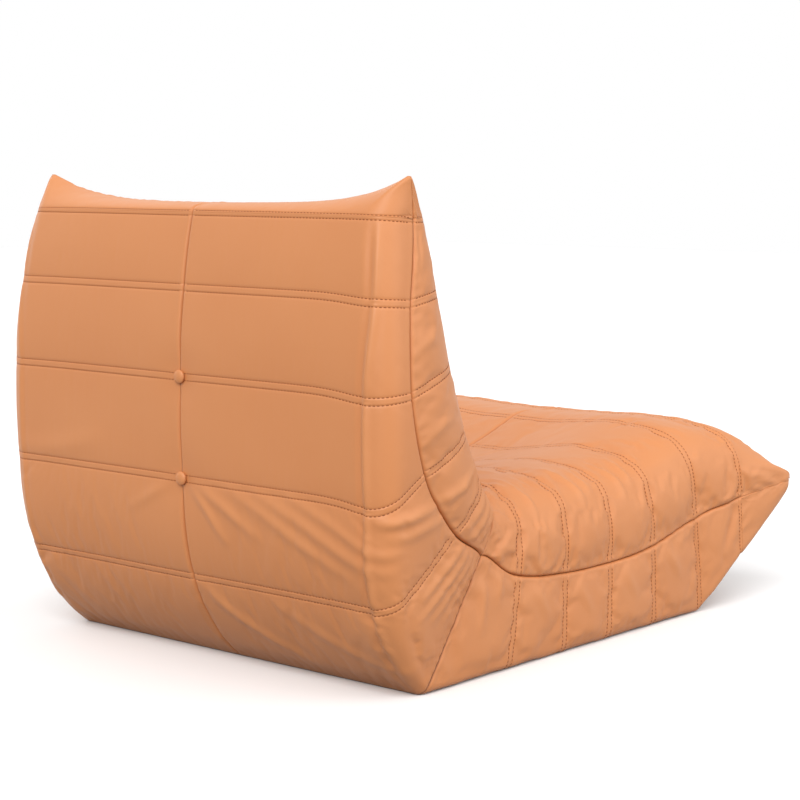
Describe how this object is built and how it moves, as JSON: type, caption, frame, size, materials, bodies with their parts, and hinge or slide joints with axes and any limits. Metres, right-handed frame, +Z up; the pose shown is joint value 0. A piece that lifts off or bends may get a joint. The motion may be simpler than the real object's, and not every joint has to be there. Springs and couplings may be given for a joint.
{
  "type": "quilted floor chair",
  "caption": "Armless quilted foam floor chair: a bent pillow with a low seat, a back with pointed corners, stitched channels, tufted buttons and a zipped base.",
  "frame": {"origin": "middle of the chair's box, on the floor", "axes": "+Z up, the seat faces -Y, +X to the sitter's left"},
  "size_m": [0.79, 1.0289, 0.708],
  "materials": {
    "leatherette": "satin grained, tan orange",
    "button_cover": "satin grained, tan orange",
    "wadding": "matt white fibre",
    "firm_foam": "matt open cell foam",
    "soft_foam": "matt open cell foam",
    "base_cloth": "matt spun-bonded cloth",
    "button_plate": "zinc plated",
    "twine": "waxed polyester",
    "zip_tape": "woven polyester",
    "zip_coil": "nylon monofilament",
    "zip_metal": "black enamelled zinc"
  },
  "bodies": {
    "chair": {"back_firm_foam": "firm_foam", "back_front_panel_left": "leatherette", "back_front_panel_right": "leatherette", "back_front_wadding": "wadding", "back_rear_panel_left": "leatherette", "back_rear_panel_right": "leatherette", "back_rear_wadding": "wadding", "back_soft_foam": "soft_foam", "base_cloth_front": "base_cloth", "base_cloth_rear": "base_cloth", "front_button_lower_back": "button_plate", "front_button_lower_cap": "button_cover", "front_button_upper_back": "button_plate", "front_button_upper_cap": "button_cover", "nose_panel_left": "leatherette", "nose_panel_right": "leatherette", "rear_button_lower_back": "button_plate", "rear_button_lower_cap": "button_cover", "rear_button_upper_back": "button_plate", "rear_button_upper_cap": "button_cover", "seat_firm_foam": "firm_foam", "seat_side_panel_left": "leatherette", "seat_side_panel_right": "leatherette", "seat_side_wadding_left": "wadding", "seat_side_wadding_right": "wadding", "seat_soft_foam": "soft_foam", "seat_top_panel_left": "leatherette", "seat_top_panel_right": "leatherette", "seat_top_wadding": "wadding", "tuft_twine_lower": "twine", "tuft_twine_upper": "twine", "zip_coil_front": "zip_coil", "zip_coil_rear": "zip_coil", "zip_stops": "zip_metal", "zip_tape_front": "zip_tape", "zip_tape_rear": "zip_tape"},
    "slider": {"zip_slider": "zip_metal"},
    "pull": {"zip_pull": "zip_metal"}
  },
  "joints": [
    {"name": "zip_slide", "type": "slide", "parent": "chair", "child": "slider", "axis": [-1, 0, 0], "range_m": [0, 0.508]},
    {"name": "pull_hinge", "type": "hinge", "parent": "slider", "child": "pull", "pos_m": [0.2528, 0.1174, 0.0025], "axis": [0, -1, 0], "range_deg": [0, 100]}
  ]
}
